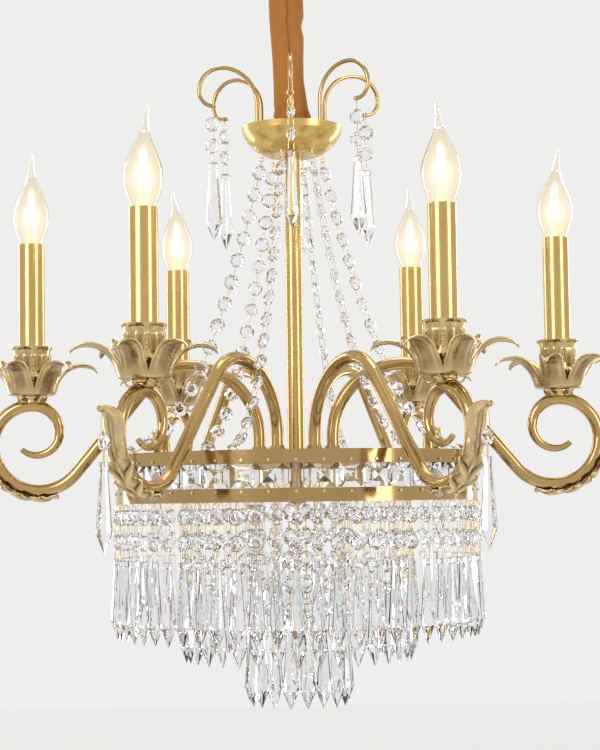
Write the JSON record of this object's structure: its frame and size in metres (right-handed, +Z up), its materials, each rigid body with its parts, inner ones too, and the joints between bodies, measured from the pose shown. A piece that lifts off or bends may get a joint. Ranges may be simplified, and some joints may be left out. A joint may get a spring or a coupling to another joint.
{
  "type": "crystal chandelier",
  "caption": "Brass chandelier with curled arms, candle bulbs and tiers of cut crystal drops under a ring, hung from the ceiling on a sleeved chain.",
  "frame": {"origin": "middle of the ceiling bracket's two screws, on the ceiling plane", "axes": "+Z up out of the ceiling; the light is seen from the front along +Y, with +X to the right; one arm points along +X"},
  "size_m": [0.6416, 0.5596, 0.745],
  "materials": {
    "satin_brass": "satin, pale champagne gold",
    "candle_brass": "satin, pale gold tube",
    "antique_brass": "cast, antique gold, darker in the hollows",
    "wire": "bright drawn wire",
    "steel": "zinc plated",
    "crystal": "cut and polished",
    "bulb_glass": "clear blown glass, lit by a warm filament",
    "bulb_cap": "pressed screw shell",
    "sleeve_cloth": "brown-gold brushed cloth",
    "white_plastic": "moulded",
    "holder_plastic": "moulded"
  },
  "bodies": {
    "ceiling_fitting": {"ceiling_bracket": "steel", "threaded_nipple": "steel", "nipple_nuts": "steel", "canopy_cover": "satin_brass", "terminal_block": "white_plastic", "canopy_loop": "satin_brass"},
    "chain": {"chain_links": "satin_brass", "fabric_sleeve": "sleeve_cloth"},
    "light": {"bowl_loop": "satin_brass", "hook_plate": "satin_brass", "wire_hooks": "satin_brass", "top_bowl": "satin_brass", "swag_eyes": "wire", "threaded_rod": "steel", "central_tube": "satin_brass", "ring_spacer": "satin_brass", "bottom_finial": "antique_brass", "hub_plate": "satin_brass", "ring_bands": "satin_brass", "ring_frame": "satin_brass", "tier_rings": "satin_brass", "square_crystals": "crystal", "band_pins": "wire", "octagon_crystals": "crystal", "icicle_crystals": "crystal", "crystal_wires": "wire", "arms": "satin_brass", "arm_flanges": "satin_brass", "lock_nuts": "steel", "arm_leaves": "antique_brass", "neck_collars": "antique_brass", "lamp_nipples": "steel", "bobeches": "antique_brass", "socket_cups": "antique_brass", "candle_tubes": "candle_brass", "lampholders": "holder_plastic"},
    "bulb_1": {"bulb_cap_1": "bulb_cap", "bulb_glass_1": "bulb_glass"},
    "bulb_2": {"bulb_cap_2": "bulb_cap", "bulb_glass_2": "bulb_glass"},
    "bulb_3": {"bulb_cap_3": "bulb_cap", "bulb_glass_3": "bulb_glass"},
    "bulb_4": {"bulb_cap_4": "bulb_cap", "bulb_glass_4": "bulb_glass"},
    "bulb_5": {"bulb_cap_5": "bulb_cap", "bulb_glass_5": "bulb_glass"},
    "bulb_6": {"bulb_cap_6": "bulb_cap", "bulb_glass_6": "bulb_glass"},
    "arm_drop_1": {"arm_drop_crystals_1": "crystal", "arm_drop_wires_1": "wire"},
    "arm_drop_2": {"arm_drop_crystals_2": "crystal", "arm_drop_wires_2": "wire"},
    "arm_drop_3": {"arm_drop_crystals_3": "crystal", "arm_drop_wires_3": "wire"},
    "arm_drop_4": {"arm_drop_crystals_4": "crystal", "arm_drop_wires_4": "wire"},
    "arm_drop_5": {"arm_drop_crystals_5": "crystal", "arm_drop_wires_5": "wire"},
    "arm_drop_6": {"arm_drop_crystals_6": "crystal", "arm_drop_wires_6": "wire"}
  },
  "joints": [
    {"name": "chain_swing_front", "type": "hinge", "parent": "ceiling_fitting", "child": "chain", "pos_m": [0, 0, -0.05987], "axis": [1, 0, 0], "range_deg": [-10, 10]},
    {"name": "light_swing_side", "type": "hinge", "parent": "chain", "child": "light", "pos_m": [0, 0, -0.16987], "axis": [0, 1, 0], "range_deg": [-10, 10]},
    {"name": "bulb_screw_1", "type": "hinge", "parent": "light", "child": "bulb_1", "pos_m": [0.2545, 0, -0.31157], "axis": [0, 0, 1], "range_deg": [0, 900]},
    {"name": "bulb_screw_2", "type": "hinge", "parent": "light", "child": "bulb_2", "pos_m": [0.12725, 0.2204, -0.31157], "axis": [0, 0, 1], "range_deg": [0, 900]},
    {"name": "bulb_screw_3", "type": "hinge", "parent": "light", "child": "bulb_3", "pos_m": [-0.12725, 0.2204, -0.31157], "axis": [0, 0, 1], "range_deg": [0, 900]},
    {"name": "bulb_screw_4", "type": "hinge", "parent": "light", "child": "bulb_4", "pos_m": [-0.2545, 0, -0.31157], "axis": [0, 0, 1], "range_deg": [0, 900]},
    {"name": "bulb_screw_5", "type": "hinge", "parent": "light", "child": "bulb_5", "pos_m": [-0.12725, -0.2204, -0.31157], "axis": [0, 0, 1], "range_deg": [0, 900]},
    {"name": "bulb_screw_6", "type": "hinge", "parent": "light", "child": "bulb_6", "pos_m": [0.12725, -0.2204, -0.31157], "axis": [0, 0, 1], "range_deg": [0, 900]},
    {"name": "arm_drop_swing_1", "type": "hinge", "parent": "light", "child": "arm_drop_1", "pos_m": [0.31383, 0, -0.47418], "axis": [1, 0, 0], "range_deg": [-25, 25]},
    {"name": "arm_drop_swing_2", "type": "hinge", "parent": "light", "child": "arm_drop_2", "pos_m": [0.15691, 0.27178, -0.47418], "axis": [0.5, 0.866, 0], "range_deg": [-25, 25]},
    {"name": "arm_drop_swing_3", "type": "hinge", "parent": "light", "child": "arm_drop_3", "pos_m": [-0.15691, 0.27178, -0.47418], "axis": [-0.5, 0.866, 0], "range_deg": [-25, 25]},
    {"name": "arm_drop_swing_4", "type": "hinge", "parent": "light", "child": "arm_drop_4", "pos_m": [-0.31383, 0, -0.47418], "axis": [-1, 0, 0], "range_deg": [-25, 25]},
    {"name": "arm_drop_swing_5", "type": "hinge", "parent": "light", "child": "arm_drop_5", "pos_m": [-0.15691, -0.27178, -0.47418], "axis": [-0.5, -0.866, 0], "range_deg": [-25, 25]},
    {"name": "arm_drop_swing_6", "type": "hinge", "parent": "light", "child": "arm_drop_6", "pos_m": [0.15691, -0.27178, -0.47418], "axis": [0.5, -0.866, 0], "range_deg": [-25, 25]}
  ]
}
